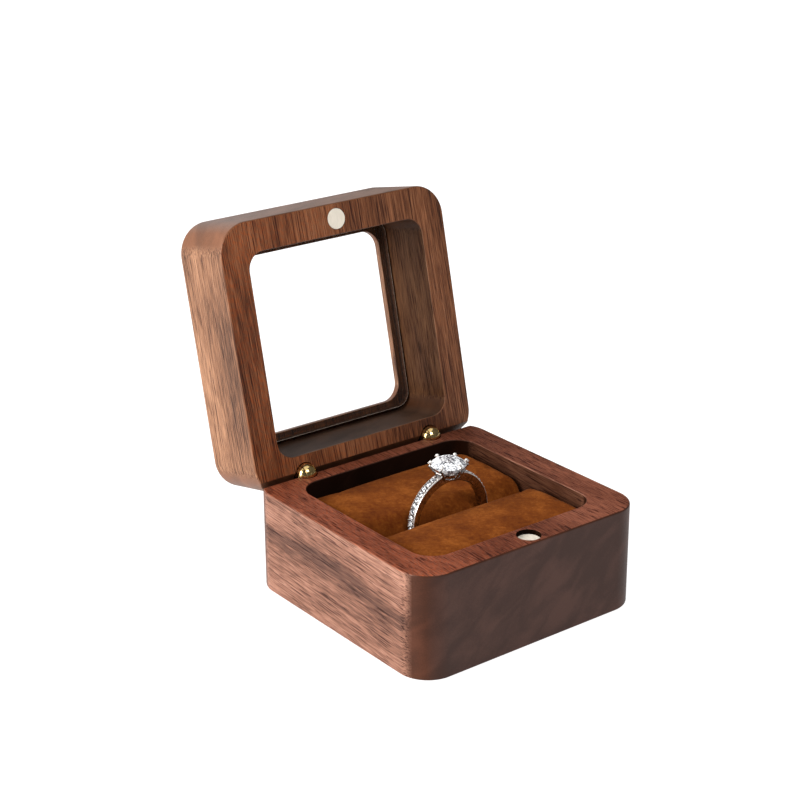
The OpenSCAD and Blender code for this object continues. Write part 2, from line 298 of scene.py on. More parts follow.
def suede():
    """Napped leather: soft mottling, brushed streaks, tufts and a faint sheen."""
    tree = Tree("suede")
    clouds = tree.noise(tree.place((0.16, 0.12, 0.16)), 1.0, 4.0, 0.6)
    strokes = tree.noise(tree.place((0.5, 1.6, 1.0), (3, 5, 1), (0, 0, 0.5)), 1.0, 3.0, 0.6)
    nap = tree.noise(tree.place((6, 6, 6)), 1.0, 3.0, 0.7)
    tufts = tree.noise(tree.place((1.3, 1.3, 1.3), (9, 2, 4)), 1.0, 3.0, 0.7, 0.4)
    tone = tree.math("MULTIPLY", clouds, 0.42)
    tone = tree.math("MULTIPLY_ADD", strokes, 0.12, tone)
    tone = tree.math("MULTIPLY_ADD", tufts, 0.24, tone)
    tone = tree.math("MULTIPLY_ADD", nap, 0.22, tone)
    colour = tree.ramp(tone, (0.40, (0.100, 0.021, 0.0022)), (0.5, (0.166, 0.040, 0.0044)),
                       (0.60, (0.275, 0.078, 0.0115)))
    height = tree.math("MULTIPLY_ADD", clouds, 1.5, nap)
    return tree.surface(Base_Color=colour, Roughness=0.95, Specular_IOR_Level=0.1,
                        Sheen_Weight=0.03, Sheen_Roughness=0.4, Sheen_Tint=(0.9, 0.5, 0.25, 1),
                        Normal=tree.bump(height, 0.10 * MM, 0.6))


def metal(name, colour, dark, roughness, metallic=1.0):
    """Polished metal with faint rubbing marks."""
    tree = Tree(name)
    marks = tree.noise(tree.place((2.5, 0.6, 2.5)), 1.0, 3.0, 0.6)
    return tree.surface(Base_Color=tree.ramp(marks, (0.35, dark), (0.6, colour)),
                        Metallic=metallic,
                        Roughness=tree.range(marks, 0.3, 0.7, roughness, roughness * 1.8),
                        Normal=tree.bump(marks, 0.004 * MM, 0.4))


def stone(name, colour, ior, body):
    """A cut stone with its light painted on: part clear, part white body painted to stand for the
    light its facets return. Each facet has its own painted brightness, kept in the mesh's facet
    attribute, noise adds painted glints, and a faint glow stands for sparkle."""
    tree = Tree(name)
    haze = tree.noise(tree.place((0.9, 0.9, 0.9)), 1.0, 2.0)
    facet = tree.add("ShaderNodeAttribute", attribute_name="facet").outputs["Fac"]
    glint = tree.noise(tree.place((2.4, 2.4, 2.4)), 1.0, 1.0)
    shown = tree.math("MULTIPLY_ADD", tree.range(glint, 0.38, 0.62), 0.55,
                      tree.math("MULTIPLY", facet, 0.55))
    colour = tree.ramp(shown, (0.22, (0.012, 0.013, 0.016)), (0.50, (0.26, 0.27, 0.30)),
                       (0.86, colour))
    return tree.surface(Base_Color=colour, IOR=ior, Transmission_Weight=1.0 - body,
                        Roughness=tree.range(haze, 0.3, 0.7, 0.0, 0.03),
                        Emission_Color=colour, Emission_Strength=0.25)


def pane_glass():
    """Clear pane: nearly all of what is behind it shows, with a faint reflection."""
    tree = Tree("pane_glass")
    smear = tree.noise(tree.place((0.12, 0.05, 0.12)), 1.0, 3.0)
    return tree.surface(Base_Color=(0.80, 0.83, 0.82, 1), Alpha=0.015, IOR=1.45,
                        Specular_IOR_Level=0.3, Roughness=tree.range(smear, 0.3, 0.7, 0.03, 0.10))


def pane_edge(name, dark, light):
    """The pane's ground edge, opaque and chipped between a dark and a light tone: a light copy is
    the painted highlight of its arris, a dark copy the painted shade of its flat.
    """
    tree = Tree(name)
    chips = tree.noise(tree.place((1.5, 1.5, 1.5)), 1.0, 3.0)
    return tree.surface(Base_Color=tree.ramp(chips, (0.35, dark), (0.70, light)),
                        Roughness=0.5, Specular_IOR_Level=0.05,
                        Normal=tree.bump(chips, 0.005 * MM, 0.3))


def darker(stops, share):
    """The same tones with less light, for the faces inside a cavity."""
    return tuple((place, tuple(c * s for c, s in zip(colour, share))) for place, colour in stops)


BASE_STOPS = ((0.36, (0.075, 0.031, 0.020)), (0.45, (0.170, 0.074, 0.046)),
              (0.54, (0.255, 0.121, 0.081)), (0.64, (0.35, 0.178, 0.124)))
LID_STOPS = ((0.37, (0.060, 0.022, 0.009)), (0.45, (0.158, 0.067, 0.031)),
             (0.54, (0.250, 0.118, 0.060)), (0.64, (0.35, 0.182, 0.100)))
GRAIN_BASE = (41, 3, 34), (-0.06, 0.0, 0.03)
GRAIN_LID = (58, 22, 71), (0.02, 0.0, 0.03)
NO_HEART = (60.0, 3.0, 0.0)
# The tint after each end-grain tone is the painted shade of the level faces.
WALNUT_BASE = walnut("walnut_base", *GRAIN_BASE, BASE_STOPS, (0.060, 0.0275, 0.0205),
                     (0.68, 0.45, 0.37, 1), (12.5, 3.5, 0.09), 0.2)
WALNUT_LID = walnut("walnut_lid", *GRAIN_LID, LID_STOPS, (0.135, 0.075, 0.053),
                    (0.90, 0.72, 0.62, 1), NO_HEART)
# Painted shade: darker copies of the walnut for the faces inside the cavities.
SHADED_INSIDE_BASE = walnut("walnut_painted_shade_base", *GRAIN_BASE, darker(BASE_STOPS, (0.34, 0.29, 0.24)),
                     (0.012, 0.005, 0.003), (0.8, 0.7, 0.6, 1), NO_HEART, 0.05)
SHADED_INSIDE_LID = walnut("walnut_painted_shade_lid", *GRAIN_LID, darker(LID_STOPS, (0.38, 0.33, 0.26)),
                    (0.050, 0.026, 0.016), (0.8, 0.7, 0.6, 1), NO_HEART, 0.08)
# Painted shade: a nearly black copy of the walnut for the deep bores.
BORE_SHADE_WOOD = walnut("walnut_bore_painted_shade", *GRAIN_LID, darker(LID_STOPS, (0.06, 0.06, 0.06)),
                   (0.006, 0.004, 0.003), (0.8, 0.7, 0.6, 1), NO_HEART, 0.0)
SUEDE = suede()
BRASS = metal("brass_polished", (0.82, 0.60, 0.27), (0.58, 0.39, 0.15), 0.10)
# The magnets' cream is the plating's colour and partly a painted reflection, kept mostly diffuse so
# that it shows bright.
NICKEL = metal("nickel_plate", (0.95, 0.87, 0.74), (0.88, 0.80, 0.67), 0.40, 0.25)
# Painted light: one white metal in two copies, a bright one for painted highlights and a dark one
# for painted shade.
HIGHLIT_SILVER = metal("white_metal_painted_highlight", (0.92, 0.90, 0.87), (0.50, 0.46, 0.43), 0.22, 0.7)
SHADED_SILVER = metal("white_metal_shaded", (0.46, 0.42, 0.40), (0.14, 0.12, 0.11), 0.10)
# Painted light: the stones' sparkle is painted, not refracted.
DIAMOND = stone("diamond", (0.98, 0.99, 1.0), 2.0, 0.85)
PANE = pane_glass()
# Painted highlight on the pane's arris, and painted shade on its flat side, dark like the wood
# behind it.
PANE_ARRIS_HIGHLIGHT = pane_edge("pane_arris_painted_highlight", (0.30, 0.24, 0.20), (0.62, 0.53, 0.46))
PANE_SIDE_SHADE = pane_edge("pane_side_painted_shade", (0.030, 0.012, 0.006), (0.055, 0.024, 0.013))


# ---------------------------------------------------------------- mesh helpers
def to_object(bm, name):
    """Object from a bmesh drawn in millimetres; it stays in them until it is finished."""
    bmesh.ops.recalc_face_normals(bm, faces=bm.faces)
    mesh = bpy.data.meshes.new(name)
    bm.to_mesh(mesh)
    bm.free()
    piece = bpy.data.objects.new(name, mesh)
    bpy.context.scene.collection.objects.link(piece)
    return piece


def bake_modifiers(piece):
    """Applies the piece's modifiers to its mesh."""
    graph = bpy.context.evaluated_depsgraph_get()
    mesh = bpy.data.meshes.new_from_object(piece.evaluated_get(graph),
                                           preserve_all_data_layers=True, depsgraph=graph)
    piece.modifiers.clear()
    old = piece.data
    piece.data = mesh
    bpy.data.meshes.remove(old)
    mesh.name = piece.name


def shade(piece, angle=30.0, weighted=True):
    """Smooth faces with sharp edges above an angle."""
    bm = bmesh.new()
    bm.from_mesh(piece.data)
    for face in bm.faces:
        face.smooth = True
    limit = math.radians(angle)
    for edge in bm.edges:
        edge.smooth = len(edge.link_faces) == 2 and edge.calc_face_angle() < limit
    bm.to_mesh(piece.data)
    bm.free()
    if weighted:
        normals = piece.modifiers.new("normals", "WEIGHTED_NORMAL")
        normals.keep_sharp = True
        bake_modifiers(piece)
    return piece


def cut(piece, *cutters):
    """Takes the cutters out of the piece."""
    for cutter in cutters:
        step = piece.modifiers.new("cut", "BOOLEAN")
        step.operation = "DIFFERENCE"
        step.solver = "EXACT"
        step.object = cutter
        bake_modifiers(piece)
        bpy.data.objects.remove(cutter)


def finish_piece(piece, material, body, slot, *nodes, swing=False):
    """Brings a piece to metres, gives it its material and body, and hides the CAD nodes it
    replaces. slot is not used.
    """
    piece.data.transform(Matrix.Scale(MM, 4))
    if swing:
        open_lid(piece)
    piece.data.materials.clear()
    piece.data.materials.append(material)
    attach(piece, body)
    if nodes:
        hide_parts(*nodes)


def paint_cavity_shade(piece, material, half_x, front, back, low, high):
    """Gives the faces inside a cavity's bounds (in metres by now) a darker copy of the wood, as
    painted shade.
    """
    piece.data.materials.append(material)
    for face in piece.data.polygons:
        x, y, z = face.center / MM
        if (abs(x) < half_x + FACE_SLACK and front - FACE_SLACK < y < back + FACE_SLACK
                and low - FACE_SLACK < z < high + FACE_SLACK):
            face.material_index = 1


def paint_bore_shade(piece, low, high):
    """Paints shade into the deep bores that hold the hinges and the magnet: their faces get a
    nearly black copy of the wood.
    """
    piece.data.materials.append(BORE_SHADE_WOOD)
    for face in piece.data.polygons:
        x, y, z = face.center / MM
        in_bore = math.hypot(abs(x) - HINGE_X, y - HINGE_Y) < BORE_R + FACE_SLACK
        in_hole = math.hypot(x - MAGNET_X, y - MAGNET_Y) < BASE_MAGNET_R + MAGNET_SHADE
        if (in_bore or in_hole) and low < z < high:
            face.material_index = 2


def rounded_outline(left, right, front, back, r, steps=20):
    """Points round a square with round corners, anticlockwise."""
    points = []
    for cx, cy, start in ((right - r, back - r, 0), (left + r, back - r, 90),
                          (left + r, front + r, 180), (right - r, front + r, 270)):
        for i in range(steps + 1):
            a = math.radians(start + 90 * i / steps)
            points.append((cx + r * math.cos(a), cy + r * math.sin(a)))
    return points


def prism(outline, low, high, name):
    """Plain upright prism."""
    bm = bmesh.new()
    bottom = [bm.verts.new((x, y, low)) for x, y in outline]
    top = [bm.verts.new((x, y, high)) for x, y in outline]
    bm.faces.new(bottom[::-1])
    bm.faces.new(top)
    for i in range(len(outline)):
        j = (i + 1) % len(outline)
        bm.faces.new((bottom[i], bottom[j], top[j], top[i]))
    return to_object(bm, name)


def lathe(profile, name, steps, turn=Matrix.Identity(4)):
    """Turns (radius, height) points about Z; points on the axis close the ends."""
    bm = bmesh.new()
    rings = []
    for r, z in profile:
        if r < 1e-6:
            rings.append([bm.verts.new((0, 0, z))])
        else:
            rings.append([bm.verts.new((r * math.cos(2 * math.pi * i / steps),
                                        r * math.sin(2 * math.pi * i / steps), z))
                          for i in range(steps)])
    for a, b in zip(rings, rings[1:]):
        for i in range(steps):
            j = (i + 1) % steps
            if len(a) == 1:
                bm.faces.new((a[0], b[i], b[j]))
            elif len(b) == 1:
                bm.faces.new((a[i], a[j], b[0]))
            else:
                bm.faces.new((a[i], a[j], b[j], b[i]))
    bmesh.ops.transform(bm, matrix=turn, verts=bm.verts)
    return to_object(bm, name)


def join(pieces, name):
    """One object from several."""
    bm = bmesh.new()
    for piece in pieces:
        bm.from_mesh(piece.data)
        bpy.data.objects.remove(piece)
    return to_object(bm, name)


def box_outline(gap):
    """The box seen from above, drawn in by gap."""
    return rounded_outline(-HALF_W + gap, HALF_W - gap, -HALF_W + gap, HALF_W - gap,
                           CORNER_R - gap, 24)


def cavity_outline(gap):
    """The base's cavity, drawn in by gap."""
    return rounded_outline(-CAVITY_X + gap, CAVITY_X - gap, CAVITY_FRONT + gap,
                           CAVITY_BACK - gap, CAVITY_R - gap)


def lid_cavity_outline(gap):
    """The lid's cavity, drawn in by gap."""
    return rounded_outline(-LID_CAVITY_X + gap, LID_CAVITY_X - gap, CAVITY_FRONT + gap,
                           CAVITY_BACK - gap, LID_CAVITY_R - gap)


def window_outline(gap):
    """The opening inside the lid's lip, drawn in by gap."""
    return rounded_outline(-LID_CAVITY_X + LIP_W + gap, LID_CAVITY_X - LIP_W - gap,
                           CAVITY_FRONT + END_LIP_W + gap, CAVITY_BACK - END_LIP_W - gap,
                           WINDOW_R - gap)


def pane_outline(gap):
    """The pane, which has more room at the back, drawn in by gap."""
    side = LID_CAVITY_X - PANE_GAP - gap
    return rounded_outline(-side, side, CAVITY_FRONT + PANE_GAP + gap,
                           CAVITY_BACK - PANE_BACK_GAP - gap, LID_CAVITY_R - PANE_CORNER_EASE - gap)


def hole_outline(x, y, r, steps=48):
    """Outline of a round hole, as a function of the gap it is drawn in by."""
    return lambda gap: [(x + (r - gap) * math.cos(2 * math.pi * i / steps),
                         y + (r - gap) * math.sin(2 * math.pi * i / steps))
                        for i in range(steps)]


def eased_prism(outline, low, high, ease_low=0.0, ease_high=0.0, past=0.0, name="prism",
                steps=3):
    """Upright prism of outline(gap). Positive easing rounds an end; negative easing flares
    it, and the flared end goes on past its plane, for a cutter that leaves a round edge."""
    levels = []
    for ease, plane, inward in ((ease_low, low, 1), (ease_high, high, -1)):
        curve = [(ease * (1 - math.sin(a)), plane + inward * abs(ease) * (1 - math.cos(a)))
                 for a in (math.radians(90 * i / steps) for i in range(steps + 1))]
        if ease == 0:
            curve = [(0.0, plane)]
        if ease < 0 and past:
            curve.insert(0, (ease, plane - inward * past))
        levels += curve if inward > 0 else curve[::-1]
    bm = bmesh.new()
    rings = [[bm.verts.new((x, y, z)) for x, y in outline(gap)] for gap, z in levels]
    bm.faces.new(rings[0][::-1])
    bm.faces.new(rings[-1])
    for lower, upper in zip(rings, rings[1:]):
        for i in range(len(lower)):
            j = (i + 1) % len(lower)
            bm.faces.new((lower[i], lower[j], upper[j], upper[i]))
    return to_object(bm, name)


def wedge(side, angle, lead):
    """Cutter behind a sloping plane that starts lead in front of the hinge line."""
    reach = 2 * HALF_W
    start = HINGE_Y - lead
    fall = side * reach * math.tan(math.radians(angle))
    corners = [(start, 0), (start + reach, fall), (start + reach, -side * 2),
               (start, -side * 2)]
    bm = bmesh.new()
    ends = [[bm.verts.new((x, y, HINGE_Z + z)) for y, z in corners] for x in (-reach, reach)]
    bm.faces.new(ends[0])
    bm.faces.new(ends[1][::-1])
    for i in range(4):
        j = (i + 1) % 4
        bm.faces.new((ends[0][i], ends[0][j], ends[1][j], ends[1][i]))
    return to_object(bm, "wedge")


def chamfer_cutters(side):
    """The 45 degree chamfer and a facet that eases its edge: side is -1 below, 1 above."""
    return wedge(side, 45, CHAMFER_LEAD), wedge(side, 22.5, CHAMFER_LEAD + CHAMFER_EASE)


def open_lid(piece):
    """Swings a piece drawn shut to where the lid rests open."""
    pivot = Vector((0, HINGE_Y, HINGE_Z)) * MM
    piece.matrix_world = (Matrix.Translation(pivot) @ Matrix.Rotation(-OPEN_ANGLE, 4, "X")
                          @ Matrix.Translation(-pivot))


# ---------------------------------------------------------------- wooden parts
def make_base():
    block = eased_prism(box_outline, 0, BASE_H, OUTER_EDGE_R, OUTER_EDGE_R,
                        name="base_box_wood")
    cut(block, *chamfer_cutters(-1))
    cut(block, eased_prism(cavity_outline, FLOOR_T, BASE_H, 0, -INNER_EDGE_R, 5),
        eased_prism(hole_outline(MAGNET_X, MAGNET_Y, BASE_MAGNET_R + MAGNET_FIT),
                    MAGNET_TOP - MAGNET_T, BASE_H, 0, -HOLE_EDGE_R, 5))
    for x in (-HINGE_X, HINGE_X):
        cut(block, eased_prism(hole_outline(x, HINGE_Y, BORE_R), HINGE_Z - BORE_DEPTH,
                               HINGE_Z + 5))
    shade(block)
    finish_piece(block, WALNUT_BASE, "base", "walnut", "base_box")
    # Painted shade on the faces inside the base's cavity.
    paint_cavity_shade(block, SHADED_INSIDE_BASE, CAVITY_X, CAVITY_FRONT, CAVITY_BACK, FLOOR_T,
                BASE_H - INNER_EDGE_R)
    # Painted shade in the base's bores.
    paint_bore_shade(block, HINGE_Z - BORE_DEPTH - 0.1, BASE_H - 0.05)


def make_lid():
    top = LID_Z + LID_H
    lip = top - LIP_T
    block = eased_prism(box_outline, LID_Z, top, OUTER_EDGE_R, OUTER_EDGE_R,
                        name="lid_frame_wood")
    cut(block, *chamfer_cutters(1))
    cut(block, eased_prism(lid_cavity_outline, LID_Z, lip, -INNER_EDGE_R, 0, 5),
        eased_prism(window_outline, lip, top, -INNER_EDGE_R, -OUTER_EDGE_R, 1),
        eased_prism(hole_outline(MAGNET_X, MAGNET_Y, LID_MAGNET_R + MAGNET_FIT), LID_Z,
                    LID_Z + MAGNET_T, -HOLE_EDGE_R, 0, 5))
    for x in (-HINGE_X, HINGE_X):
        cut(block, eased_prism(hole_outline(x, HINGE_Y, BORE_R), HINGE_Z - 5,
                               HINGE_Z + BORE_DEPTH))
    shade(block)
    finish_piece(block, WALNUT_LID, "lid", "walnut", "lid_frame", swing=True)
    # Painted shade on the faces inside the lid's cavity.
    paint_cavity_shade(block, SHADED_INSIDE_LID, LID_CAVITY_X, CAVITY_FRONT, CAVITY_BACK,
                LID_Z + INNER_EDGE_R, lip)
    # Painted shade in the lid's bores.
    paint_bore_shade(block, LID_Z + 0.05, HINGE_Z + BORE_DEPTH + 0.1)
    pane = eased_prism(pane_outline, lip - PANE_T, lip, PANE_EDGE_R, PANE_EDGE_R,
                       name="window_pane_glass")
    shade(pane, weighted=False)
    finish_piece(pane, PANE, "lid", "pane", "window_pane", swing=True)
    # The pane's arris takes the painted highlight, its flat side the painted shade.
    pane.data.materials.append(PANE_ARRIS_HIGHLIGHT)
    pane.data.materials.append(PANE_SIDE_SHADE)
    for face in pane.data.polygons:
        arris = face.center.z / MM < lip - PANE_T + PANE_EDGE_R
        face.material_index = 0 if abs(face.normal.z) > 0.99 else 1 if arris else 2


# ---------------------------------------------------------------- hinges and magnets
def disc_profile(r, low, high, edge):
    """Half outline of a disc with eased edges."""
    points = [(0, low), (r - edge, low)]
    points += [(r - edge * (1 - math.sin(a)), low + edge * (1 - math.cos(a)))
               for a in (math.radians(22.5 * i) for i in range(1, 5))]
    points += [(r, high - edge)]
    points += [(r - edge * (1 - math.cos(a)), high - edge * (1 - math.sin(a)))
               for a in (math.radians(22.5 * i) for i in range(1, 5))]
    return points + [(0, high)]


def ball_slice(low, high, edge=0.08, steps=10):
    """Half outline of a slice of the ball between two planes."""
    points = [(0, low)]
    a0, a1 = (math.asin(v / BALL_R) for v in (low, high))
    r0, r1 = (math.sqrt(BALL_R ** 2 - v ** 2) for v in (low, high))
    if r0 > edge:
        points.append((r0 - edge, low))
    for i in range(steps + 1):
        a = a0 + (a1 - a0) * (i + 0.3) / (steps + 0.6)
        points.append((BALL_R * math.cos(a), BALL_R * math.sin(a)))
    if r1 > edge:
        points.append((r1 - edge, high))
    return points + [(0, high)]


def upright_slab(x0, x1, y_half, z0, z1, name):
    """Plain box, for the necks that are hidden in the hinge's bores."""
    return prism([(x0, -y_half), (x1, -y_half), (x1, y_half), (x0, y_half)], z0, z1, name)


def make_hinge(side, x):
    """One barrel hinge: fork below, tongue above, and the pin across them."""
    axis = Matrix.Rotation(math.radians(90), 4, "Y")
    place = Matrix.Translation((x, HINGE_Y, HINGE_Z))
    cheek = TONGUE_HALF + CHEEK_GAP
    end = BALL_R * CHEEK_END
    neck_low, neck_high = BARREL_START + NECK_IN_BARREL, NECK_IN_BALL
    fork = [lathe(ball_slice(cheek, end), "cheek_a", 64, axis),
            lathe(ball_slice(-end, -cheek), "cheek_b", 64, axis),
            upright_slab(cheek, BALL_R - 0.3, NECK_HALF, -neck_low, -neck_high, "neck_a"),
            upright_slab(-BALL_R + 0.3, -cheek, NECK_HALF, -neck_low, -neck_high, "neck_b"),
            lathe(disc_profile(BARREL_R, -BARREL_START - BARREL_LEN, -BARREL_START,
                                BRASS_EDGE_R),
                  "barrel", 64)]
    lower = join(fork, side + "_hinge_fork")
    shade(lower, 35, False)
    lower.data.transform(place)
    finish_piece(lower, BRASS, "base", "brass", side + "_hinge_base_barrel")
    tongue = [lathe(ball_slice(-TONGUE_HALF, TONGUE_HALF), "disc", 64, axis),
              upright_slab(-TONGUE_HALF, TONGUE_HALF, NECK_HALF, neck_high, neck_low, "neck"),
              lathe(disc_profile(BARREL_R, BARREL_START, BARREL_START + BARREL_LEN,
                                 BRASS_EDGE_R),
                    "barrel", 64)]
    upper = join(tongue, side + "_hinge_tongue")
    shade(upper, 35, False)
    upper.data.transform(place)
    finish_piece(upper, BRASS, "lid", "brass", side + "_hinge_lid_barrel", swing=True)
    pin = lathe(disc_profile(PIN_R, -PIN_HALF, PIN_HALF, PIN_EDGE_R), side + "_hinge_pin_brass", 32,
                axis)
    shade(pin, 35, False)
    pin.data.transform(place)
    finish_piece(pin, BRASS, "base", "brass", side + "_hinge_pin")


def make_magnets():
    disc = lathe(disc_profile(BASE_MAGNET_R, 0, MAGNET_T, 0.2), "base_magnet_disc", 64,
                 Matrix.Translation((MAGNET_X, MAGNET_Y, MAGNET_TOP - MAGNET_T)))
    finish_piece(shade(disc), NICKEL, "base", "magnet", "base_magnet")
    disc = lathe(disc_profile(LID_MAGNET_R, 0, MAGNET_T, 0.12), "lid_magnet_disc", 64,
                 Matrix.Translation((MAGNET_X, MAGNET_Y, LID_Z)))
    finish_piece(shade(disc), NICKEL, "lid", "magnet", "lid_magnet", swing=True)


# ---------------------------------------------------------------- pads
PAD_TOP = BASE_H - 2.4
PAD_CROWN = 1.3
PAD_GAP = 0.15
SIM_SCALE = 0.02
VOXEL = 0.65
PAD_CAP = 0.45
SIM_FRAMES = 20
REAR_ROLL = (4.0, 2.0)
FRONT_ROLL = (2.0, 0.9)
END_ROLL = 2.0
WALL_GAP = 0.04
SLOT_BULGE = 0.12
BED_GAP = 0.2
BED_CLEAR = 0.05


def pad_height(y, front, back, front_r, back_r):
    """Height of a pad's top at y: a shallow crown with rolled edges."""
    mid = (2 * y - front - back) / (back - front)
    near = [max(0.0, 1 - (y - front) / front_r), max(0.0, 1 - (back - y) / back_r)]
    drop = [r * (1 - math.sqrt(max(0.0, 1 - n * n))) for r, n in zip((front_r, back_r), near)]
    return PAD_TOP - PAD_CROWN * mid * mid - sum(drop)


def inside_cavity(x, y, gap):
    """The point moved in, if need be, to lie inside the cavity's outline less a gap."""
    r = CAVITY_R - gap
    lo_x, hi_x = -CAVITY_X + gap, CAVITY_X - gap
    lo_y, hi_y = CAVITY_FRONT + gap, CAVITY_BACK - gap
    x, y = min(max(x, lo_x), hi_x), min(max(y, lo_y), hi_y)
    cx, cy = min(max(x, lo_x + r), hi_x - r), min(max(y, lo_y + r), hi_y - r)
    dx, dy = x - cx, y - cy
    length = math.hypot(dx, dy)
    if length > r:
        x, y = cx + dx * r / length, cy + dy * r / length
    return x, y


def pad_blank(name, front, back, front_r, back_r):
    """The pad before it swells: the crowned outline run across the cavity, ends rolled."""
    steps_y, steps_x = 40, 60
    bm = bmesh.new()
    half = CAVITY_X - PAD_GAP
    rows = []
    for i in range(steps_x + 1):
        x = -half * math.cos(math.pi * i / steps_x)
        near_end = max(0.0, 1 - (half - abs(x)) / END_ROLL)
        end_drop = END_ROLL * (1 - math.sqrt(max(0.0, 1 - near_end ** 2)))
        row = []
        for j in range(steps_y + 1):
            y = front + (back - front) * (1 - math.cos(math.pi * j / steps_y)) / 2
            z = pad_height(y, front, back, front_r, back_r) - end_drop
            px, py = inside_cavity(x, y, PAD_GAP)
            row.append((px, py, z))
        rows.append(row)
    top = [[bm.verts.new(p) for p in row] for row in rows]
    low = [[bm.verts.new((p[0], p[1], FLOOR_T + BED_GAP)) for p in row] for row in rows]
    for i in range(steps_x):
        for j in range(steps_y):
            bm.faces.new((top[i][j], top[i + 1][j], top[i + 1][j + 1], top[i][j + 1]))
            bm.faces.new((low[i][j], low[i][j + 1], low[i + 1][j + 1], low[i + 1][j]))
    for i in range(steps_x):
        for j in (0, steps_y):
            bm.faces.new((top[i][j], top[i + 1][j], low[i + 1][j], low[i][j]))
    for j in range(steps_y):
        for i in (0, steps_x):
            bm.faces.new((top[i][j], top[i][j + 1], low[i][j + 1], low[i][j]))
    return to_object(bm, name)


def swell(piece, front, back):
    """Cloth simulation of the suede pulled over foam, then held inside the pad's space."""
    piece.data.transform(Matrix.Scale(SIM_SCALE, 4))
    remesh = piece.modifiers.new("remesh", "REMESH")
    remesh.mode = "VOXEL"
    remesh.voxel_size = VOXEL * SIM_SCALE
    bake_modifiers(piece)
    start = [v.co.copy() for v in piece.data.vertices]
    cloth = piece.modifiers.new("cloth", "CLOTH")
    cloth.settings.use_pressure = True
    cloth.settings.uniform_pressure_force = 4.0
    cloth.settings.quality = 6
    cloth.settings.mass = 0.3
    cloth.settings.tension_stiffness = 25
    cloth.settings.compression_stiffness = 25
    cloth.settings.bending_stiffness = 0.6
    cloth.settings.effector_weights.gravity = 0.0
    scene = bpy.context.scene
    for step in range(1, SIM_FRAMES + 1):
        scene.frame_set(step)
    bake_modifiers(piece)
    scene.frame_set(1)
    cap = PAD_CAP * SIM_SCALE
    for vertex, origin in zip(piece.data.vertices, start):
        move = vertex.co - origin
        if move.length > cap:
            vertex.co = origin + move * (cap / move.length)
    piece.data.transform(Matrix.Scale(1 / SIM_SCALE, 4))
    for vertex in piece.data.vertices:
        x, y, z = vertex.co
        x, y = inside_cavity(x, y, WALL_GAP)
        y = min(max(y, front - SLOT_BULGE), back + SLOT_BULGE)
        vertex.co = (x, y, max(z, FLOOR_T + BED_CLEAR))
    step = piece.modifiers.new("soften", "SMOOTH")
    step.iterations = 3
    fine = piece.modifiers.new("fine", "SUBSURF")
    fine.levels = 1
    fine.render_levels = 1
    bake_modifiers(piece)
    for face in piece.data.polygons:
        face.use_smooth = True


def make_pads():
    lo, hi = [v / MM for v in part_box("rear_cover")]
    rear = pad_blank("rear_pad_suede", lo.y, hi.y, *REAR_ROLL)
    swell(rear, lo.y, hi.y)
    finish_piece(rear, SUEDE, "base", "suede", "rear_cover", "rear_foam")
    lo, hi = [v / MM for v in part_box("front_cover")]
    front = pad_blank("front_pad_suede", lo.y, hi.y, *FRONT_ROLL)
    swell(front, lo.y, hi.y)
    finish_piece(front, SUEDE, "base", "suede", "front_cover", "front_foam")


# ---------------------------------------------------------------- ring
def brilliant(bm, place, r, crown_h, pavilion_h, girdle, light=1.0):
    """A round brilliant with its 57 facets, added to bm. place is its matrix. Each facet gets a
    painted brightness, scaled by light, in the facet attribute.
    """
    table_r = r * TABLE_SHARE
    slope_up = crown_h / (r - table_r)
    slope_down = pavilion_h / r
    star_r, lower_r = r * STAR_SHARE, r * LOWER_SHARE
    turn = math.pi / 4
    half = math.cos(turn / 2)

    def point(radius, angle, z):
        return bm.verts.new(place @ Vector((radius * math.cos(angle), radius * math.sin(angle), z)))

    table = [point(table_r, k * turn, girdle / 2 + crown_h) for k in range(8)]
    star = [point(star_r, (k + 0.5) * turn,
                  girdle / 2 + (r - star_r * half) * slope_up) for k in range(8)]
    upper = [point(r, k * turn / 2, girdle / 2) for k in range(16)]
    lower = [point(r, k * turn / 2, -girdle / 2) for k in range(16)]
    keel = [point(lower_r, (k + 0.5) * turn,
                  -girdle / 2 - (r - lower_r * half) * slope_down) for k in range(8)]
    culet = point(0, 0, -girdle / 2 - pavilion_h)
    facet = bm.faces.layers.float.get("facet") or bm.faces.layers.float.new("facet")
    bm.faces.new(table)[facet] = TABLE_LIGHT * light
    for k in range(8):
        n, before = (k + 1) % 8, (k - 1) % 8
        g, mid, after = 2 * k, 2 * k + 1, (2 * k + 2) % 16
        corners = ((table[k], star[k], table[n]), (table[k], star[before], upper[g], star[k]),
                   (star[k], upper[g], upper[mid]), (star[k], upper[mid], upper[after]),
                   (culet, keel[k], lower[g], keel[before]), (keel[k], lower[mid], lower[g]),
                   (keel[k], lower[after], lower[mid]),
                   (upper[g], lower[g], lower[mid], upper[mid]),
                   (upper[mid], lower[mid], lower[after], upper[after]))
        for which, face in enumerate(corners):
            bm.faces.new(face)[facet] = light * PAINTED_FACET_LIGHT[(3 * k + 5 * which) % len(PAINTED_FACET_LIGHT)]


def ball(bm, place, r, rows=8, columns=12):
    """A small round bead, added to bm."""
    bmesh.ops.create_uvsphere(bm, u_segments=columns, v_segments=rows, radius=r, matrix=place)


